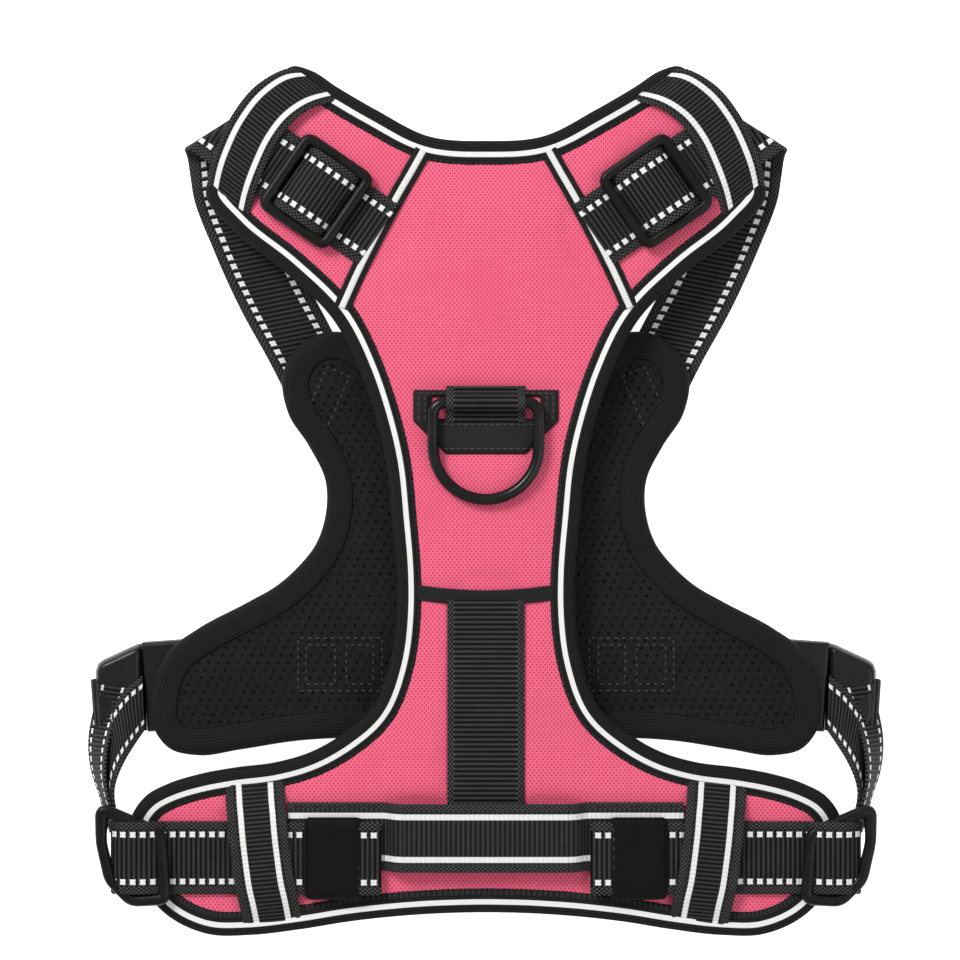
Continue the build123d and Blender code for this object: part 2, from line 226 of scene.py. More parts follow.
def binding(name, stripe=0.0):
    """Folded twill tape; v is the distance in from the panel's edge."""
    p = Paint(name, 0.72, 0.08)
    along, across = p.along_across()
    twill = p.wave(p.add(along, across), 1.25)
    row = p.wave(across, 1.35)
    fuzz = p.noise(0.6)
    tone = p.times(p.add(p.times(twill, 0.6), p.times(row, 0.4)), p.add(0.45, p.times(fuzz, 0.8)))
    colour = p.mix(tone, grey(0.0015), grey(0.030))
    colour = p.mix(p.times(p.noise(14.0), 0.35), colour, grey(0.007))
    height = p.add(p.times(twill, 0.5), p.add(p.times(row, 0.35), p.times(fuzz, 0.3)))
    if stripe:
        line = p.near(across, stripe, 1.15, 0.12)
        weave = p.mix(p.times(p.wave(along, 0.8), 0.3), (0.90, 0.90, 0.89, 1), grey(0.68))
        colour = p.mix(line, colour, weave)
        edge = p.times(p.step(across, 9.6, 10.0), p.wave(along, 2.4))
        colour = p.mix(p.times(edge, 0.5), colour, grey(0.05))
    return p.finish(colour, height, 0.28, 0.8)


def oxford(name):
    """Coated pink oxford cloth: a fine basket weave with darker pits between the yarns."""
    p = Paint(name, 0.60, 0.16)
    x, y, _ = p.place()
    warp = p.wave(p.add(x, p.times(y, 0.8)), 1.9)
    weft = p.wave(p.math("SUBTRACT", x, p.times(y, 0.8)), 1.9)
    pits = p.math("POWER", p.times(warp, weft), 2.0)
    yarn = p.add(p.times(p.wave(x, 0.53), 0.5), p.times(p.wave(y, 0.53), 0.5))
    fuzz = p.noise(0.8)
    cloth = p.mix(p.add(p.times(yarn, 0.3), p.times(fuzz, 0.5)), (0.80, 0.084, 0.170, 1), (1.0, 0.215, 0.345, 1))
    colour = p.mix(p.times(p.step(pits, 0.06, 0.62), 0.95), cloth, (0.33, 0.016, 0.048, 1))
    colour = p.mix(p.times(p.step(p.noise(26.0, 4.0), 0.42, 0.72), 0.28), colour, (0.68, 0.074, 0.145, 1))
    height = p.add(p.times(pits, -1.0), p.add(p.times(yarn, 0.35), p.times(fuzz, 0.4)))
    return p.finish(colour, height, 0.20, 0.7)


def spacer(name):
    """Black spacer mesh with small open cells in staggered rows."""
    p = Paint(name, 0.70, 0.09)
    x, y, _ = p.place()
    cells = 0.0
    for shift in (0.0, 0.5):
        slant = p.add(x, p.times(y, 0.18))
        a = p.add(p.math("FRACT", p.add(p.times(slant, 1 / 4.4), shift + 50)), -0.5)
        b = p.add(p.math("FRACT", p.add(p.times(y, 1 / 6.6), shift + 50)), -0.5)
        reach = p.add(p.math("POWER", p.times(a, 4.4), 2.0), p.math("POWER", p.times(b, 6.6), 2.0))
        cells = p.math("MAXIMUM", cells, p.math("SUBTRACT", 1.0, p.step(reach, 0.12, 0.62)))
    knit = p.times(p.wave(x, 1.1), p.wave(y, 0.82))
    fuzz = p.noise(0.7)
    colour = p.mix(p.add(p.times(knit, 0.45), p.times(fuzz, 0.5)), grey(0.0040), grey(0.0240))
    colour = p.mix(p.times(p.step(p.noise(30.0), 0.4, 0.7), 0.35), colour, grey(0.019))
    cells = p.times(cells, p.add(0.45, p.times(p.step(p.noise(7.0), 0.35, 0.65), 0.55)))
    colour = p.mix(cells, colour, grey(0.0008))
    height = p.add(p.times(cells, -1.6), p.add(p.times(knit, 0.35), p.times(fuzz, 0.5)))
    return p.finish(colour, height, 0.5, 0.9)


def smooth_patch(name, low, high):
    """Tightly woven or coated patch cloth with a fine grain."""
    p = Paint(name, 0.66, 0.09)
    x, y, _ = p.place()
    grain = p.times(p.wave(p.add(x, y), 0.8), p.wave(p.math("SUBTRACT", x, y), 0.8))
    fuzz = p.noise(0.9)
    colour = p.mix(p.add(p.times(grain, 0.4), p.times(fuzz, 0.6)), grey(low, 0.03), grey(high, 0.05))
    colour = p.mix(p.times(p.noise(12.0), 0.4), colour, grey(low))
    return p.finish(colour, p.add(p.times(grain, 0.5), fuzz), 0.12, 0.6)


def moulded(name, low, high, rough, specular, grain=0.05):
    """Moulded plastic or powder-coated steel with a faint grain and rubbed tone."""
    p = Paint(name, rough, specular)
    fine = p.noise(0.35, 5.0)
    broad = p.step(p.noise(11.0, 4.0), 0.35, 0.70)
    colour = p.mix(p.add(p.times(fine, 0.5), p.times(broad, 0.5)), grey(low, 0.02), grey(high, 0.03))
    return p.finish(colour, fine, grain, 0.5)


MATS = {
    "dotted": webbing("webbing_dotted", 16, (10.35,), 4.3, 2.4),
    "plain": webbing("webbing_plain", 17, low=0.002, high=0.070),
    "tape": webbing("seam_tape", 3.2, low=0.006, high=0.030, pitch=1.1),
    "handle": webbing("webbing_handle", 15, (9.3,), 0.0, 2.5, low=0.008, high=0.060),
    "keeper": webbing("webbing_keeper", 13, (7.0,), 0.0, 2.4, low=0.003, high=0.062, pitch=1.9),
    "piping": webbing("piping", 3.8, (0.0,), 0.0, 2.7, low=0.006, high=0.024, pitch=1.1),
    "binding": binding("binding_reflective", 6.5),
    "chest_binding": binding("binding_plain"),
    "oxford": oxford("oxford_pink"),
    "mesh": spacer("spacer_mesh"),
    "foam": smooth_patch("foam_grey", 0.10, 0.20),
    "patch": smooth_patch("patch_cloth", 0.012, 0.036),
    "wrap": smooth_patch("wrap_cloth", 0.002, 0.012),
    "thread": smooth_patch("thread_black", 0.016, 0.050),
    "light_thread": smooth_patch("thread_grey", 0.060, 0.150),
    "steel": moulded("ring_coated_steel", 0.004, 0.012, 0.22, 0.26, grain=0.02),
    "slide": moulded("slide_matte_plastic", 0.004, 0.012, 0.34, 0.16),
    "buckle": moulded("buckle_satin_plastic", 0.005, 0.013, 0.30, 0.26),
}


# ---------------------------------------------------------------- mesh helpers

def make_mesh(name, points, faces, material, uv=None):
    """An object from points in millimetres; uv holds one pair for each point."""
    mesh = bpy.data.meshes.new(name)
    mesh.from_pydata((np.asarray(points, float) / 1000).tolist(), [], faces)
    if uv is not None:
        corners = np.empty(len(mesh.loops), dtype=np.int32)
        mesh.loops.foreach_get("vertex_index", corners)
        layer = mesh.uv_layers.new(name="cloth")
        layer.data.foreach_set("uv", np.asarray(uv, dtype=np.float32)[corners].ravel())
    work = bmesh.new()
    work.from_mesh(mesh)
    bmesh.ops.recalc_face_normals(work, faces=work.faces)
    work.to_mesh(mesh)
    work.free()
    mesh.polygons.foreach_set("use_smooth", [True] * len(mesh.polygons))
    mesh.materials.append(MATS[material])
    piece = bpy.data.objects.new(name, mesh)
    scene.collection.objects.link(piece)
    return piece


def tube_faces(rows, size, base=0, closed=False):
    """Four-sided faces between rings of points that follow one another."""
    faces = []
    for i in range(rows if closed else rows - 1):
        a, b = base + i * size, base + (i + 1) % rows * size
        for j in range(size):
            n = (j + 1) % size
            faces.append((a + j, a + n, b + n, b + j))
    return faces


def slab_faces(faces, count):
    """The top's triangles, the same below it turned over, and the rim between them."""
    solid = [tuple(f) for f in faces] + [tuple(f[::-1] + count) for f in faces]
    return solid + [(b, a, a + count, b + count) for a, b in rim_edges(faces)]


def flip(points, sign):
    """The same points on the other side of the harness."""
    return [(sign * point[0],) + tuple(point[1:]) for point in points]


def travel(points):
    steps = np.linalg.norm(np.diff(points, axis=0), axis=1)
    return np.concatenate([[0], np.cumsum(steps)])


def curve(points, at, where):
    """Smooth curve through points at the distances at, read at the distances where."""
    points = np.asarray(points, float)
    slopes = np.diff(points, axis=0) / np.diff(at)[:, None]
    tangents = np.vstack([slopes[:1], slopes[-1:]])
    if len(points) > 2:
        gaps = np.diff(at)[:, None]
        inner = (slopes[:-1] * gaps[1:] + slopes[1:] * gaps[:-1]) / (gaps[1:] + gaps[:-1])
        tangents = np.vstack([slopes[:1], inner, slopes[-1:]])
    k = np.clip(np.searchsorted(at, where, side="right") - 1, 0, len(at) - 2)
    gap = (at[k + 1] - at[k])[:, None]
    t = ((where - at[k])[:, None]) / gap
    a = (1 + 2 * t) * (1 - t) ** 2
    b = t * (1 - t) ** 2
    c = t * t * (3 - 2 * t)
    d = t * t * (t - 1)
    return a * points[k] + b * gap * tangents[k] + c * points[k + 1] + d * gap * tangents[k + 1]


COLUMNS = np.array([-1, -0.985, -0.95, -0.9, -0.84, -0.78, -0.6, -0.3, 0, 0.3, 0.6, 0.78, 0.84, 0.9, 0.95, 0.985, 1])


def ribbon(name, first, second, thick, material, pitch=PITCH, rib=0.10, columns=COLUMNS, crown=None, start=0.0,
           nominal=None):
    """A woven strip ruled between two edge curves, with real ribs across it."""
    first, second = np.asarray(first, float), np.asarray(second, float)
    at = travel((first + second) / 2)
    where = np.linspace(0, at[-1], max(4, int(at[-1] / (pitch / 4)) + 1))
    a, b = curve(first, at, where), curve(second, at, where)
    centre = (a + b) / 2
    side = b - a
    half = np.linalg.norm(side, axis=1) / 2
    side /= 2 * half[:, None]
    normal = np.cross(np.gradient(centre, axis=0), side)
    normal /= np.linalg.norm(normal, axis=1)[:, None]
    along_a, along_b = travel(a) + start, travel(b) + start
    share = (columns + 1) / 2
    along = along_a[:, None] * (1 - share) + along_b[:, None] * share
    across = half[:, None] * columns[None, :]
    rim = np.sqrt(1 - 0.9 * np.clip((np.abs(columns) - 0.93) / 0.07, 0, 1) ** 2)
    woven = np.where(np.abs(columns) < 0.8, 1.0, -1.3)
    relief = rib * woven * np.cos(TAU * along / pitch - math.pi / 2) * (np.abs(columns) < 0.99)
    lift = thick / 2 * rim[None, :]
    if crown is not None:
        relief = relief + crown(across, along / along.max())
    flat = centre[:, None, :] + side[:, None, :] * across[:, :, None]
    top = flat + normal[:, None, :] * (lift + relief)[:, :, None]
    bottom = flat - normal[:, None, :] * np.broadcast_to(lift, relief.shape)[:, :, None]
    ring = np.concatenate([top, bottom[:, ::-1]], axis=1)
    rows, size = ring.shape[:2]
    faces = tube_faces(rows, size)
    for base in (0, (rows - 1) * size):
        for j in range(len(columns) - 1):
            faces.append((base + j, base + j + 1, base + size - 2 - j, base + size - 1 - j))
    if nominal:
        across = np.broadcast_to(nominal * columns, across.shape)
    uv = np.stack([np.concatenate([along, along[:, ::-1]], 1), np.concatenate([across, across[:, ::-1]], 1)], -1)
    return make_mesh(name, ring.reshape(-1, 3), faces, material, uv.reshape(-1, 2))


def flat_strip(name, path, half, thick, material, sign=1, **options):
    """A strip lying flat along a path of (x, y, z); half may change along it."""
    path = np.asarray(flip(path, sign), float)
    tangent = np.gradient(path, axis=0)
    side = np.cross((0, 0, 1), tangent)
    side /= np.linalg.norm(side, axis=1)[:, None]
    reach = np.broadcast_to(np.asarray(half, float), (len(path),))[:, None]
    return ribbon(name, path - side * reach, path + side * reach, thick, material, **options)


def turned_strip(name, path, direction, half, thick, material, **options):
    """A strip whose width keeps one direction while its path climbs or turns."""
    path = np.asarray(path, float)
    side = np.asarray(direction, float)
    side = side / np.linalg.norm(side) * half
    return ribbon(name, path - side, path + side, thick, material, **options)


def inside(points, loop):
    """Which points lie inside a closed loop, in plan."""
    x, y = points[:, 0][:, None], points[:, 1][:, None]
    x0, y0 = loop[:, 0][None], loop[:, 1][None]
    x1, y1 = np.roll(loop[:, 0], -1)[None], np.roll(loop[:, 1], -1)[None]
    rise = np.where(y1 == y0, 1e-9, y1 - y0)
    crossing = ((y0 > y) != (y1 > y)) & (x < (x1 - x0) * (y - y0) / rise + x0)
    return crossing.sum(1) % 2 == 1


def nearest(points, targets):
    """Distance from each point to the nearest target, and its index."""
    gaps = np.linalg.norm(points[:, None, :2] - targets[None, :, :2], axis=2)
    index = gaps.argmin(1)
    return gaps[np.arange(len(points)), index], index


def resample(loop, spacing):
    closed = np.vstack([loop, loop[:1]])
    at = travel(closed)
    where = np.linspace(0, at[-1], int(at[-1] / spacing), endpoint=False)
    return np.stack([np.interp(where, at, closed[:, axis]) for axis in (0, 1)], 1)


def triangles(loops, spacing):
    """Points and triangles that fill the first loop and leave the others open."""
    low, high = loops[0].min(0), loops[0].max(0)
    rows = np.arange(low[1], high[1], spacing * 0.866)
    grid = [
        (x + (spacing / 2 if k % 2 else 0), y)
        for k, y in enumerate(rows) for x in np.arange(low[0], high[0], spacing)
    ]
    grid = np.array(grid)
    keep = inside(grid, loops[0])
    for hole in loops[1:]:
        keep &= ~inside(grid, hole)
    grid = grid[keep]
    rim = np.vstack(loops)
    away, _ = nearest(grid, rim)
    grid = grid[away > spacing * 0.6]
    points = np.vstack([rim, grid])
    edges, base = [], 0
    for loop in loops:
        edges += [(base + i, base + (i + 1) % len(loop)) for i in range(len(loop))]
        base += len(loop)
    out = delaunay_2d_cdt([tuple(p) for p in points], edges, [], 0, 1e-6)
    points = np.array([tuple(p) for p in out[0]])
    faces = np.array([f for f in out[2] if len(f) == 3])
    middle = points[faces].mean(1)
    keep = inside(middle, loops[0])
    for hole in loops[1:]:
        keep &= ~inside(middle, hole)
    return points, faces[keep]


def rim_edges(faces):
    """Edges used by one triangle only, in that triangle's direction."""
    directed = [(f[i], f[(i + 1) % 3]) for f in faces for i in range(3)]
    known = set(directed)
    return [(a, b) for a, b in directed if (b, a) not in known]


def plate(name, loops, low, high, material, spacing=2.0, edge=0.7, sag=0.0):
    """A cut patch with softly rounded edges."""
    dense = [resample(np.asarray(loop, float), spacing * 0.8) for loop in loops]
    points, faces = triangles(dense, spacing)
    away, _ = nearest(points, np.vstack(dense))
    lift = np.clip(away / edge, 0, 1)
    level = low + (high - low) * (0.45 + 0.55 * np.sqrt(lift * (2 - lift)))
    level = level + sag * np.sin(points[:, 0] * 0.31 + points[:, 1] * 0.17) * lift
    count = len(points)
    top = np.column_stack([points, level])
    bottom = np.column_stack([points, np.full(count, low)])
    return make_mesh(name, np.vstack([top, bottom]), slab_faces(faces, count), material)


def stitches(name, runs, material="thread", spacing=2.9, length=2.1, radius=0.30):
    """Rows of separate thread stitches along polylines of (x, y, z)."""
    verts, faces = [], []
    for run in runs:
        run = np.asarray(run, float)
        at = travel(run)
        for middle in np.arange(spacing / 2, at[-1], spacing):
            ends = [
                np.array([np.interp(middle + d, at, run[:, axis]) for axis in range(3)])
                for d in (-length / 2, length / 2)
            ]
            axis = ends[1] - ends[0]
            across = np.cross(axis, (0, 0, 1.0))
            across /= np.linalg.norm(across) + 1e-9
            base = len(verts)
            for share, size, rise in ((0, 0.35, -0.25), (0.25, 1, 0), (0.75, 1, 0), (1, 0.35, -0.25)):
                heart = ends[0] + axis * share + np.array((0, 0, rise * radius))
                for k in range(6):
                    turn = TAU * k / 6
                    up = np.array((0, 0, math.sin(turn)))
                    verts.append(heart + (across * math.cos(turn) + up) * radius * size)
            faces += tube_faces(4, 6, base)
            faces.append(tuple(base + k for k in range(6)))
            faces.append(tuple(base + 18 + k for k in range(6)))
    return make_mesh(name, verts, faces, material)


def box_run(x0, x1, y0, y1, z):
    return [(x0, y0, z), (x1, y0, z), (x1, y1, z), (x0, y1, z), (x0, y0, z)]


def settle(piece, body, *nodes, slot=None, blended=None, padded=None):
    """Attach a finished piece to its body, or bake it in place when blended, and hide the CAD parts it stands for."""
    if blended:
        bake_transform(piece)
    else:
        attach(piece, body)
    if nodes:
        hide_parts(*nodes)


# ---------------------------------------------------------------- outlines and bindings

BACK_HALF = [
    (0, 158.5), (25, 160.5), (48, 172), (66, 182.5), (77, 189.5), (85, 191.5), (94, 184), (103, 168.5),
    (111, 153.5), (121, 145), (123.5, 135), (112, 119.5), (88, 100), (67, 79), (55, 55), (49, 37),
    (44, 16), (41.5, -8), (39.5, -33), (39.5, -49), (42.5, -72), (50.5, -92), (63, -103), (77, -111),
    (92, -115.5), (111, -118), (127, -121), (140, -125), (150, -130.5), (156.5, -140), (157, -152),
    (152, -170), (141, -183), (122, -191.7), (104, -192), (82, -189.5), (60, -186), (30, -183), (0, -182),
]
CHEST_HALF = [
    (0, 48), (25, 52), (46, 64), (66, 75), (80, 71.5), (90.5, 56), (88, 38), (79, 24), (71.5, 8),
    (72, -9), (76, -20), (83, -29), (93, -38), (106, -45.5), (128.5, -57.5), (140, -66), (148, -82),
    (148.5, -101), (141, -111), (128, -114), (110, -111.5), (84, -107.5), (55, -106), (0, -107),
]


def outline(half, spacing=1.5):
    """Closed smooth loop through the right half's points and their mirror images."""
    loop = np.array(half + [(-x, y) for x, y in half[-2:0:-1]], float)
    wrapped = np.vstack([loop[-3:], loop, loop[:3]])
    at = travel(wrapped)
    begin, end = at[3], at[3 + len(loop)]
    where = np.linspace(begin, end, int((end - begin) / spacing), endpoint=False)
    return curve(wrapped, at, where)


def insets(loop, depths):
    """The loop moved inward by each depth, point for point."""
    found, current, depth = {0.0: loop}, loop.copy(), 0.0
    while depth < max(depths) - 1e-6:
        along = np.roll(current, -1, 0) - np.roll(current, 1, 0)
        along /= np.linalg.norm(along, axis=1)[:, None]
        current = current + np.column_stack([along[:, 1], -along[:, 0]]) * 0.25
        around = (np.roll(current, -1, 0) + np.roll(current, 1, 0)) / 2
        current = current * 0.85 + around * 0.15
        depth += 0.25
        found[round(depth, 2)] = current
    return [found[round(d, 2)] for d in depths]


def edge_binding(name, loop, low, high, width, material, puff, shift=0.0):
    """Tape folded round a panel's edge: a closed C section swept round the outline."""
    outer = [
        (width, low - 0.15), (width - 1, low - 0.5), (6, low - 0.6), (2, low - 0.5), (0.5, low + 0.3),
        (0, (low + high) / 2), (0.5, high - 0.3), (1.5, high + puff * 0.65), (3, high + puff),
        (5, high + puff), (7, high + puff * 0.8), (9, high + puff * 0.62), (width - 1, high + puff * 0.45),
        (width, high + 0.12),
    ]
    inner = [(width, high - 0.2), (2.0, high - 0.2), (2.0, low + 0.4), (width, low + 0.4)]
    profile = outer + inner
    loops = [np.vstack([part, part[:1]]) for part in insets(loop, [d for d, _ in profile])]
    loop = np.vstack([loop, loop[:1]])
    at = travel(loop)
    ripple = 0.10 * np.sin(at / 4.1 + 1.7 * np.sin(at / 23.0))
    ripple[-1] = ripple[0]
    rows, size = len(loop), len(profile)
    points = np.zeros((rows, size, 3))
    uv = np.zeros((rows, size, 2))
    rear = np.clip((-165 - loop[:, 1]) / 8, 0, 1) * shift
    for j, (depth, z) in enumerate(profile):
        points[:, j, :2] = loops[j]
        points[:, j, 2] = z + (ripple if 6 <= j < len(outer) - 1 else 0)
        uv[:, j, 0] = at
        uv[:, j, 1] = (depth + rear) if j >= 5 else -depth
    return make_mesh(name, points.reshape(-1, 3), tube_faces(rows, size), material, uv.reshape(-1, 2))


# ---------------------------------------------------------------- padded panels

def pressed_by(points, bars):
    """0.1 under the straps and fittings, 1 well clear of them."""
    free = np.ones(len(points))
    for x0, y0, x1, y1, reach in bars:
        a, b = np.array((x0, y0)), np.array((x1, y1))
        run = b - a
        share = np.clip(((points - a) @ run) / max(run @ run, 1e-9), 0, 1)
        away = np.linalg.norm(points - (a + share[:, None] * run), axis=1)
        free = np.minimum(free, np.clip((away - reach) / 6, 0.1, 1))
    return free


def puff_panel(name, loop, low, high, spacing, seams, bars, rise, sink):
    ring = resample(loop, spacing)
    points, faces = triangles([ring], spacing)
    count = len(points)
    to_edge, edge_index = nearest(points, ring)
    to_seam, seam_index = nearest(points, np.vstack(seams))
    level = np.concatenate([np.full(count, high), np.full(count, low)])
    flat = np.column_stack([np.vstack([points, points]), level])
    moved = np.zeros((2 * count, 3))
    body = make_mesh(name + "_cloth", flat, slab_faces(faces, count), "foam")
    held = body.vertex_groups.new(name="held")
    fixed = np.where((to_edge < 0.6) | (to_seam < spacing * 0.55))[0]
    held.add([int(i) for i in fixed] + [int(i) + count for i in fixed], 1.0, "REPLACE")
    cloth = body.modifiers.new("cloth", "CLOTH").settings
    cloth.vertex_group_mass = "held"
    cloth.use_pressure = True
    cloth.uniform_pressure_force = 4
    cloth.quality = 4
    cloth.mass = 0.15
    cloth.effector_weights.gravity = 0
    for step in range(1, 21):
        scene.frame_set(step)
    graph = bpy.context.evaluated_depsgraph_get()
    done = body.evaluated_get(graph).to_mesh()
    result = np.empty(len(done.vertices) * 3)
    done.vertices.foreach_get("co", result)
    moved = result.reshape(-1, 3) * 1000 - flat
    bpy.data.objects.remove(body, do_unlink=True)
    scene.frame_set(1)
    dome = np.clip(np.minimum(to_edge, to_seam) / 16, 0, 1) ** 0.6
    lift = np.clip(moved[:count, 2], 0, None)
    lift = lift / max(np.percentile(lift, 92), 1e-3) if lift.max() > 0 else dome
    lift = np.clip(0.65 * lift + 0.35 * dome, 0, 1.15)
    free = pressed_by(points, bars)
    edge_phase = edge_index * spacing / 1.25 + 2 * np.sin(edge_index / 7.0)
    seam_phase = seam_index * 1.05 + 1.5 * np.sin(seam_index / 6.0)
    pucker = 0.26 * np.exp(-to_edge / 5) * np.sin(edge_phase)
    pucker += 0.24 * np.exp(-to_seam / 4.5) * np.sin(seam_phase)
    broad = 0.22 * np.sin(points[:, 0] / 15 + np.sin(points[:, 1] / 21)) * np.sin(points[:, 1] / 18 + 0.7)
    top = flat[:count].copy()
    held_down = 0.45 * np.exp(-to_seam / 2)
    top[:, 2] += (rise * lift + broad * dome) * free + pucker * np.clip(free * 1.5, 0, 1) - held_down
    under = flat[count:].copy()
    under[:, 2] -= sink * lift * free
    return points, faces, top, under


def cloth_piece(name, points, faces, thick, material, upward):
    """One sewn cloth panel, given thickness and one level of subdivision."""
    used = np.unique(faces)
    renumber = np.full(len(points), -1)
    renumber[used] = np.arange(len(used))
    piece = make_mesh(name, points[used], [tuple(f) for f in renumber[faces]], material)
    work = bmesh.new()
    work.from_mesh(piece.data)
    if (sum(f.normal.z for f in work.faces) > 0) != upward:
        bmesh.ops.reverse_faces(work, faces=work.faces)
    work.to_mesh(piece.data)
    work.free()
    solid = piece.modifiers.new("thickness", "SOLIDIFY")
    solid.thickness = thick / 1000
    solid.offset = -1
    piece.modifiers.new("smooth", "SUBSURF").levels = 1
    piece.modifiers["smooth"].render_levels = 1
    return piece


def foam_piece(name, faces, top, under, inset):
    """The foam core, closed, just inside the two cloths."""
    core = np.vstack([top - (0, 0, inset), under + (0, 0, inset)])
    return make_mesh(name, core, slab_faces(faces, len(top)), "foam")


WAIST_Y = -43.0             # the seam across the waist, at the spine
REAR_Y = -157.3             # middle line of the girth straps
HANDLE_Y = -148             # middle line of the handle
CHEST_STRAP_Y = -81.8       # middle line of the webbing across the chest panel
BUCKLE_SEAM = (153.0, -84.0)
BUCKLE_LEAN = math.radians(-4)
PIPING = [(28.3, 152.4), (33, 144), (38.5, 134.5), (48.5, 116), (56, 101), (62.4, 87)]
BACK_BARS = [
    (52, 120, 128, 172, 16), (78, 182, 104, 166, 10), (104, 166, 116, 139, 10),
    (-30, 34, 30, 34, 14), (0, -50, 0, -150, 15), (-90, -148, 90, -148, 14),
    (46, -157, 172, -157, 17), (102, -125, 95, -185, 10),
]


def waist(x):
    """Height in plan of the waist seam, which rises a little to each side."""
    return WAIST_Y + (x / 34) ** 2 * 3


def both_sides(bars):
    return bars + [(-a, b, -c, d, e) for a, b, c, d, e in bars]


def back_panel():
    loop = outline(BACK_HALF)
    hem = insets(loop, [9.5])[0]
    settle(edge_binding("back_binding_tape", loop, 25.7, 31.3, 11.0, "binding", 0.95, shift=1.3),
           "panels", "back_binding", slot="binding")
    at = travel(np.array(PIPING))
    line = curve(PIPING, at, np.arange(0, at[-1], 1.2))
    waist_x = np.arange(-36, 36, 1.2)
    seams = [line, line * (-1, 1), np.column_stack([waist_x, waist(waist_x)])]
    points, faces, top, under = puff_panel(
        "back", hem, 26.0, 31.1, 3.0, seams, both_sides(BACK_BARS), rise=1.9, sink=0.35)
    middle = points[faces].mean(1)
    edge_x = np.interp(-middle[:, 1], [-200, -152.4, -134.5, -116, -101, -87, -80],
                       [20, 28.3, 38.5, 48.5, 56, 62.4, 66])
    upper = middle[:, 1] > 80
    rear = middle[:, 1] < np.minimum(waist(middle[:, 0]), -38)
    right = upper & (middle[:, 0] > edge_x)
    left = upper & (middle[:, 0] < -edge_x)
    for name, chosen in (("rear", rear), ("shoulder_right", right), ("shoulder_left", left),
                         ("centre", ~(rear | right | left))):
        cover = cloth_piece("cover_" + name, top, faces[chosen], 0.8, "oxford", True)
        settle(cover, "panels", "back_cover_" + name, slot="oxford", padded=0.45)
    lining = cloth_piece("lining_back", under, faces, 0.6, "mesh", False)
    settle(lining, "panels", "back_lining", slot="mesh", padded=0.45)
    settle(foam_piece("foam_back", faces, top, under, 1.0), "panels", "back_foam", slot="padding", padded=0.45)


def chest_panel():
    loop = outline(CHEST_HALF)
    hem = insets(loop, [10.0])[0]
    settle(edge_binding("chest_binding_tape", loop, 12.1, 17.7, 12.0, "chest_binding", 1.25),
           "panels", "chest_binding", slot="binding")
    seam = insets(loop, [15.5])[0]
    seam = seam[np.abs(seam[:, 0]) < 146]
    points, faces, top, under = puff_panel(
        "chest", hem, 12.4, 17.5, 2.8, [seam], both_sides([(100, -82, 118, -82, 14)]), rise=1.7, sink=0.15)
    lining = cloth_piece("lining_chest", top, faces, 0.7, "mesh", True)
    settle(lining, "panels", "chest_lining", slot="mesh", padded=0.5)
    cover = cloth_piece("cover_chest", under, faces, 0.35, "oxford", False)
    settle(cover, "panels", "chest_cover", slot="oxford", padded=0.5)
    settle(foam_piece("foam_chest", faces, top, under, 0.9), "panels", "chest_foam", slot="padding", padded=0.5)

    def square(x0, x1, y0, y1, turn):
        heart = np.array(((x0 + x1) / 2, (y0 + y1) / 2))
        corners = np.array([(x0, y0), (x1, y0), (x1, y1), (x0, y1), (x0, y0)]) - heart
        spin = np.array([(math.cos(turn), math.sin(turn)), (-math.sin(turn), math.cos(turn))])
        corners = corners @ spin + heart
        dense = np.vstack([np.linspace(corners[i], corners[i + 1], 14) for i in range(4)])
        _, index = nearest(dense, points)
        return np.column_stack([dense, top[index, 2] + 0.20])

    runs = []
    for sign in (1, -1):
        runs.append(square(sign * 46, sign * 83.5, -85, -61.5, 0.0))
        runs.append(square(sign * 50, sign * 62, -82, -64.5, 0.0))
        runs.append(square(sign * 67, sign * 80, -82, -64.5, 0.0))
        runs.append(square(sign * 65, sign * 76, 34, 58, sign * 0.42))
    settle(stitches("chest_stitching", runs, "light_thread", spacing=3.4, length=1.7, radius=0.26), "panels")


# ---------------------------------------------------------------- trims, patches and rings

NARROW = np.array([-1, -0.9, -0.72, -0.55, -0.42, -0.33, -0.2, 0, 0.2, 0.33, 0.42, 0.55, 0.72, 0.9, 1])


def seam_trims():
    def cord(across, along):
        return 0.75 * np.sqrt(np.clip(1 - (across / 1.5) ** 2, 0, 1))
    for side, sign in SIDES:
        path = [(x, y, 32.0) for x, y in PIPING]
        path[0], path[-1] = (27.6, 153.6, 31.9), (63.4, 84.6, 31.9)
        piece = flat_strip("piping_" + side, path, 3.7, 0.9, "piping", sign, pitch=1.1, rib=0.03,
                           columns=NARROW, crown=cord)
        settle(piece, "panels", "shoulder_piping_" + side, slot="binding")
    stations = ((-31.5, 31.1), (-28.5, 31.6), (-24, 32.0), (-12, 32.05), (0, 32.05), (12, 32.05), (24, 32.0),
                (28.5, 31.6), (31.5, 31.1))
    path = [(x, waist(x), z) for x, z in stations]
    tape = flat_strip("waist_tape", path, 3.3, 1.0, "tape", pitch=1.1, rib=0.05, columns=NARROW)
    settle(tape, "panels", "waist_seam_tape", slot="binding")
    spine = flat_strip("spine_strap", [(0, -151, 32.3), (0, -100, 32.5), (0, -44, 32.3)], 17, 1.5, "plain")
    settle(spine, "panels", "spine_webbing", slot="webbing")
    runs = [[(s * 15.2, -150, 33.2), (s * 15.2, -46, 33.2)] for s in (1, -1)]
    runs.append([(-24, -42.0, 32.58), (-12, -43.1, 32.64), (0, -43.6, 32.66), (12, -43.1, 32.64),
                 (24, -42.0, 32.58)])
    settle(stitches("spine_stitching", runs, radius=0.22), "panels")


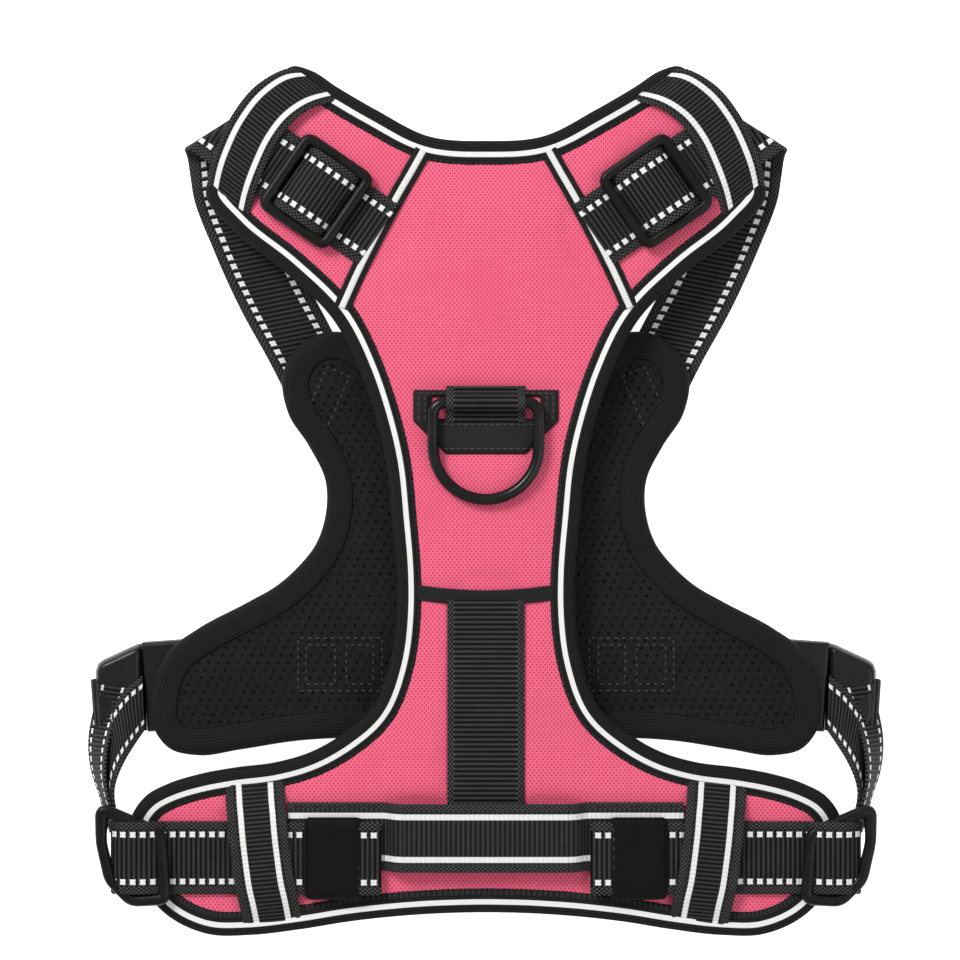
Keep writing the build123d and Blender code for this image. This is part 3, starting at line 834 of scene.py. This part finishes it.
def ring_set(side, bar_y, bar_z, level, sign):
    """Patch, loop and stitching for one leash ring; sign is +1 where they face up."""
    top, foot, half, cut = bar_y + 5.7, bar_y - 22.5, 32.0, 14.5
    shape = [(-half, top), (-half, foot + cut), (cut - half, foot), (half - cut, foot), (half, foot + cut),
             (half, top)]
    window = [(-24, bar_y - 7.0), (24, bar_y - 7.0), (24, bar_y + 2.6), (-24, bar_y + 2.6)]
    low, high = sorted((level, level + sign * 1.3))
    patch = plate(side + "_patch", [shape[::-1], window], low, high, "patch", spacing=1.8, sag=0.05)
    settle(patch, "panels", side + "_ring_patch", slot="patch")
    radius = 3.35
    arc = [
        (0, bar_y + radius * math.cos(t), bar_z + sign * radius * math.sin(t))
        for t in np.linspace(-0.55, math.pi + 0.55, 13)
    ]
    path = [(0, bar_y + 7.4, level + sign * 1.0), (0, bar_y + 4.6, level + sign * 1.3)] + arc
    path += [(0, bar_y - 4.6, level + sign * 1.3), (0, bar_y - 8.4, level + sign * 1.2)]
    loop = turned_strip(side + "_loop", path, (1, 0, 0), 17.4, 1.25, "plain", rib=0.16)
    settle(loop, "panels", side + "_ring_loop", slot="webbing")
    z = level + sign * 1.42
    runs = [[(s * x, foot + cut, z), (s * x, top - 1.6, z)] for x in (29.6, 26.6) for s in (1, -1)]
    runs.append(box_run(-22, 22, foot + 2.4, bar_y - 9.4, z))
    runs.append([(-30, top - 1.5, z), (30, top - 1.5, z)])
    settle(stitches(side + "_patch_stitching", runs, "light_thread", radius=0.24), "panels")


def rings():
    ring_set("back", 42.7, 35.7, 31.35, 1)
    ring_set("chest", 22.0, 7.7, 12.05, -1)


# ---------------------------------------------------------------- shoulder straps

def shoulders():
    angle = math.radians(34.5)
    along = np.array((math.cos(angle), math.sin(angle)))
    across = np.array((-along[1], along[0]))
    heart = np.array((74.5, 135.5))
    for side, sign in SIDES:
        start = heart - along * 33
        inner = [tuple(start + across * 16) + (32.7,), (83, 160.3, 32.9), (99.2, 171.0, 32.9),
                 (101.5, 172.5, 32.7)]
        outer = [tuple(start - across * 16) + (32.7,), (107, 138.1, 32.9), (127.9, 152.3, 32.9),
                 (130.5, 154.0, 32.7)]
        # folded edge and the run below the panel, down to the chest panel
        inner += [(102.4, 173.0, 31.6), (103.0, 173.2, 28.4), (102.2, 172.2, 25.0), (99.8, 158, 23.5),
                  (99, 146, 23.3), (92, 124, 20.6), (80, 97, 13.6), (70, 78, 10.9), (57, 52, 10.4)]
        outer += [(132.0, 154.3, 31.4), (132.9, 154.1, 28.4), (132.4, 152.4, 25.2), (130.9, 143, 23.7),
                  (129.5, 134, 23.4), (121, 111, 19.8), (108.5, 83, 13.4), (97, 62, 10.9), (85, 38, 10.4)]
        strap = ribbon("strap_shoulder_" + side, flip(inner, sign), flip(outer, sign), 1.4, "dotted")
        settle(strap, "panels", "shoulder_strap_" + side, slot="webbing")
        outer = [(82.5, 189.5, 31.3), (86.5, 189.8, 32.2), (91.5, 188.0, 34.6), (101.5, 181.5, 35.2),
                 (111.5, 169.0, 35.2), (117.6, 156.5, 35.0), (120.2, 149.8, 34.4), (121.8, 144.5, 32.4),
                 (122.6, 139.0, 31.2)]
        inner = [(64.5, 176.6, 31.3), (68.5, 174.8, 32.2), (75.5, 172.6, 34.6), (83.8, 166.8, 35.2),
                 (91.5, 157.2, 35.2), (97.0, 146.2, 35.0), (100.1, 138.0, 34.8), (102.3, 131.2, 33.0),
                 (104.2, 125.2, 31.2)]
        keeper = ribbon("keeper_shoulder_" + side, flip(inner, sign), flip(outer, sign), 1.4, "keeper", pitch=1.9)
        settle(keeper, "panels", "shoulder_keeper_" + side, slot="webbing")
        path = []
        for u, z in ((-12.6, 34.9), (-10.5, 36.7), (-6.5, 38.6), (0, 39.5), (6.5, 38.6), (10.5, 36.7), (12.6, 34.9)):
            spot = heart + along * u
            path.append((sign * spot[0], spot[1], z))
        turn = turned_strip("turn_shoulder_" + side, path, (sign * across[0], across[1], 0), 15.6, 1.3, "dotted")
        settle(turn, "shoulder_slide_" + side, "shoulder_turn_" + side, slot="webbing")
        places = [heart + along * u + across * v
                  for u, v in ((-16.2, -17.6), (16.2, -17.6), (16.2, 17.6), (-16.2, 17.6))]
        corners = [(sign * c[0], c[1], 2.35) for c in places]
        rod = [heart + across * v for v in (-16.8, 16.8)]
        slide = slide_frame("slide_shoulder_" + side, corners, [(sign * r[0], r[1]) for r in rod], 34.05, 38.4)
        settle(slide, "shoulder_slide_" + side, "shoulder_slide_" + side, slot="slide_plastic")
        z = 33.62
        runs = []
        for v in (-13.5, 13.5):
            ends = [start + along * u + across * v for u in (2, 11)]
            runs.append([(sign * e[0], e[1], z) for e in ends])
        for u in (2, 11):
            ends = [start + along * u + across * v for v in (-13.5, 13.5)]
            runs.append([(sign * e[0], e[1], z) for e in ends])
        settle(stitches("stitching_shoulder_" + side, runs), "panels")


BEVEL = [(1, -0.6), (1, 0.25), (0.72, 0.85), (0.3, 1), (-0.3, 1), (-0.72, 0.85), (-1, 0.25), (-1, -0.6),
         (-0.7, -1), (0.7, -1)]


def slide_frame(name, corners, rod, low, high):
    """A closed moulded frame with bevelled bars; corners hold (x, y, half width of the bar)."""
    loop = np.array(corners, float)
    path = []
    for before, here, after in zip(np.roll(loop, 1, 0), loop, np.roll(loop, -1, 0)):
        ends = [here + (other - here) * 3.2 / np.linalg.norm((other - here)[:2]) for other in (before, after)]
        for t in np.linspace(0, 1, 7):
            path.append(ends[0] * (1 - t) ** 2 + 2 * here * t * (1 - t) + ends[1] * t * t)
    path = np.vstack([path, path[:1]])
    at = travel(path[:, :2])
    where = np.linspace(0, at[-1], 150, endpoint=False)
    dense = np.stack([np.interp(where, at, path[:, axis]) for axis in range(3)], 1)
    along = np.roll(dense, -1, 0)[:, :2] - np.roll(dense, 1, 0)[:, :2]
    along /= np.linalg.norm(along, axis=1)[:, None]
    out = np.column_stack([along[:, 1], -along[:, 0]])
    middle, reach = (low + high) / 2, (high - low) / 2
    size, rows = len(BEVEL), len(dense)
    verts = [
        (d[0] + o[0] * d[2] * b, d[1] + o[1] * d[2] * b, middle + reach * h)
        for d, o in zip(dense, out) for b, h in BEVEL
    ]
    faces = tube_faces(rows, size, closed=True)
    ends = np.array(rod, float)
    axis = (ends[1] - ends[0]) / np.linalg.norm(ends[1] - ends[0])
    wide = np.array((-axis[1], axis[0]))
    base = len(verts)
    for spot in ends:
        for k in range(10):
            turn = TAU * k / 10
            verts.append((spot[0] + wide[0] * 1.4 * math.cos(turn), spot[1] + wide[1] * 1.4 * math.cos(turn),
                          middle - 0.1 + 1.4 * math.sin(turn)))
    faces += tube_faces(2, 10, base)
    faces += [tuple(range(base, base + 10)), tuple(range(base + 10, base + 20))]
    return make_mesh(name, verts, faces, "slide")


# ---------------------------------------------------------------- girth straps and handle

def rear():
    for side, sign in SIDES:
        y = REAR_Y
        path = [(62, y, 36.5), (52, y, 36.5), (48.2, y, 36.4), (46.4, y, 35.7), (48.2, y, 34.9), (54, y, 34.7),
                (84, y, 34.7), (88, y, 34.6), (95, y, 33.1), (99, y, 32.9),
                (130, y, 32.9), (158, y, 32.9), (164.5, y, 32.4)]
        strap = turned_strip("strap_girth_" + side, flip(path, sign), (0, 1, 0), 16, 1.4, "dotted", start=1.2)
        settle(strap, "panels", "girth_strap_" + side, slot="webbing")
        corner = [(54, -140.4), (55.5, -139.2), (78, -139.2), (79.5, -140.7), (79.5, -173.6), (78, -175.2),
                  (55.6, -175.6), (54, -174)]
        wrap = plate("wrap_" + side, [flip(corner, sign)[::-1]], 35.5, 37.6, "wrap", spacing=2.4, edge=2.6, sag=0.10)
        settle(wrap, "panels", "strap_wrap_" + side, slot="patch")
        band = [(101.9, -124.6, 31.2), (101.6, -128.0, 31.9), (101.2, -133, 33.6), (100.5, -138.6, 35.6),
                (99.9, -145, 36.7), (98.4, -158, 36.9), (96.6, -170, 36.7), (95.3, -176, 35.6),
                (94.5, -181, 33.2), (94.0, -184.4, 31.6), (93.7, -187, 31.2)]
        keeper = flat_strip("keeper_girth_" + side, band, 13, 1.4, "keeper", sign, pitch=1.9)
        settle(keeper, "panels", "girth_keeper_" + side, slot="webbing")
        path = [(sign * (153 + u), y + 0.6, z) for u, z in
                ((-11.2, 35.0), (-9.6, 36.6), (-6, 38.7), (0, 39.4), (6, 38.7), (9.6, 36.6), (11.2, 35.0))]
        turn = turned_strip("turn_girth_" + side, path, (0, 1, 0), 15.8, 1.3, "dotted")
        settle(turn, "girth_slide_" + side, "girth_turn_" + side, slot="webbing")
        corners = [(168.6, -135.6, 2.9), (142.8, -146.4, 2.7), (140.6, -174.9, 2.7), (155.4, -175.8, 2.6),
                   (165.0, -166.4, 2.5), (168.8, -150, 2.4)]
        slide = slide_frame("slide_girth_" + side, flip(corners, sign),
                            flip([(155.5, -140.5), (149.0, -176.5)], sign), 34.05, 38.6)
        settle(slide, "girth_slide_" + side, "girth_slide_" + side, slot="slide_plastic")
        end = turned_strip("handle_end_cloth_" + side, [(sign * x, HANDLE_Y, 32.9) for x in (45.4, 60, 87)],
                           (0, 1, 0), 15, 1.4, "handle")
        settle(end, "panels", "handle_end_" + side, slot="webbing")
        path = [(sign * x, HANDLE_Y, z) for x, z in
                ((46.2, 32.9), (44.6, 33.1), (42.6, 34.4), (40, 37.4), (38, 38.8), (35.9, 39.3))]
        riser = turned_strip("handle_riser_cloth_" + side, path, (0, 1, 0), 15, 1.5, "handle", rib=0.08)
        settle(riser, "panels", "handle_riser_" + side, slot="webbing",
               blended=("handle", (sign * 0.0455, -0.148, 0.0329), (sign * 0.0363, -0.148, 0.0393)))
        girth_loop(side, sign)
    path = [(x, HANDLE_Y, z) for x, z in ((-36.2, 39.3), (-18, 39.45), (0, 39.5), (18, 39.45), (36.2, 39.3))]
    grip = turned_strip("handle_grip_cloth", path, (0, 1, 0), 15, 1.7, "handle")
    settle(grip, "handle", "handle_grip", slot="webbing")
    runs = [flip([(47.5, -134.6, 33.85), (86, -134.6, 33.85)], sign) for sign in (1, -1)]
    settle(stitches("rear_stitching", runs), "panels")


def girth_loop(side, sign):
    """The strap's two layers, twisting from flat at the plug to on edge at the slide.

    Their edges draw together at both ends, so they are narrower than the real strap there.
    """
    low = [(153.6, -78.6, 12.4), (160.6, -84.2, 12.0), (167.2, -93.0, 10.2), (171.6, -103.0, 7.6), (173.6, -113.8, 6.4),
           (172.4, -124.4, 9.0), (168.6, -133, 15.5), (165.5, -140, 24.0), (162.5, -146, 31.0)]
    high = [(152.6, -103.2, 12.4), (156.4, -109.2, 16.6), (160.2, -116.0, 23.4), (162.9, -122.8, 28.8),
            (163.9, -128.8, 31.6), (163.3, -134.0, 33.0), (162.0, -138.6, 33.4), (160.0, -143.5, 33.4),
            (158.0, -148.5, 33.2)]
    near = ribbon("loop_near_" + side, flip(low, sign), flip(high, sign), 1.4, "dotted", nominal=16)
    low = [(173.6, -82.5, 11.6), (174.6, -89.0, 9.8), (176.6, -97.0, 7.0), (178.2, -106.0, 5.0), (178.3, -114.0, 4.2),
           (176.4, -122.6, 7.4), (172.2, -131.5, 14.6), (168.5, -140.0, 24.0), (165.5, -146.5, 31.0)]
    high = [(159.6, -84.4, 11.7), (162.4, -91.0, 11.4), (165.4, -98.5, 13.0), (167.6, -107.5, 18.6),
            (168.2, -115.4, 24.6), (167.8, -122.6, 29.4), (166.6, -129.4, 31.6), (164.8, -135.2, 32.3),
            (162.0, -146.5, 32.2)]
    far = ribbon("loop_far_" + side, flip(low, sign), flip(high, sign), 1.4, "dotted", nominal=16)
    for layer in (near, far):
        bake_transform(layer)
    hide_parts("girth_loop_" + side)
    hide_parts("girth_loop_" + side)


def plug_turns():
    for side, sign in SIDES:
        out = np.array((math.cos(BUCKLE_LEAN), math.sin(BUCKLE_LEAN)))
        wide = np.array((-out[1], out[0]))
        heart = np.array(BUCKLE_SEAM)
        path = []
        for u, z in ((16.0, 10.2), (18.5, 10.6), (21.6, 9.8), (23.2, 7.8), (23.5, 5.6), (22.8, 3.0), (20.8, 1.6),
                     (17.0, 1.3), (15.4, 1.6)):
            spot = heart + out * u - wide * 5.5
            path.append((sign * spot[0], spot[1], z))
        turn = turned_strip("plug_turn_cloth_" + side, path, (sign * wide[0], wide[1], 0), 10.5, 1.2, "plain")
        settle(turn, "plug_" + side, "plug_turn_" + side, slot="webbing")
        body = [(153.5, -64.4), (157.5, -65.2), (171.8, -71.8), (174.2, -73.6), (175.3, -77.0), (175.0, -97),
                (173, -101.5), (168, -103), (152.3, -103.7)]
        shell = plate("plug_shell_" + side, [flip(body, sign)[::-1]], 0.7, 11.5, "buckle", spacing=1.3, edge=3.4)
        settle(shell, "plug_" + side, "buckle_plug_" + side, slot="buckle_plastic")
        corners = [heart + out * u + wide * v
                   for u, v in ((-23, -3), (-22, -4), (0.5, -4), (0.5, 4), (-22, 4), (-23, 3))]
        guide = plate("plug_guide_" + side, [[(sign * c[0], c[1]) for c in corners]], 3.5, 8.1, "buckle",
                      spacing=1.3, edge=0.8)
        settle(guide, "plug_" + side, slot="buckle_plastic")
    path = [(x, CHEST_STRAP_Y, z) for x, z in
            ((-121.5, 4.5), (-120.6, 9.4), (-116, 10.4), (-80, 10.6), (0, 10.6), (80, 10.6), (116, 10.4),
             (120.6, 9.4), (121.5, 4.5))]
    across = turned_strip("chest_strap", path, (0, 1, 0), 16, 1.4, "dotted")
    settle(across, "panels", "chest_webbing", slot="webbing")


# ---------------------------------------------------------------- carried-over hard parts

def paint_cad():
    finishes = (("ring", "steel"), ("slide", "slide"), ("buckle", "buckle"), ("latch", "buckle"))
    for name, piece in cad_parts.items():
        for word, material in finishes:
            hard = word in name and not any(soft in name for soft in ("patch", "loop"))
            if hard:
                for slot in piece.material_slots:
                    slot.material = MATS[material]


def floor():
    p = Paint("floor_white", 0.95, 0.0)
    p.shader.inputs["Emission Color"].default_value = (1, 1, 1, 1)
    p.shader.inputs["Emission Strength"].default_value = 0.95
    tone = p.mix(p.noise(60.0), grey(0.93), grey(0.95))
    MATS["floor"] = p.finish(tone, p.noise(3.0), 0.02, 0.2)
    size = 1600
    ground = make_mesh("floor", [(-size, -size, -0.4), (size, -size, -0.4), (size, size, -0.4), (-size, size, -0.4)],
                       [(0, 1, 2, 3)], "floor")


set_camera()
set_light()
floor()
back_panel()
chest_panel()
seam_trims()
rings()
shoulders()
rear()
plug_turns()
paint_cad()
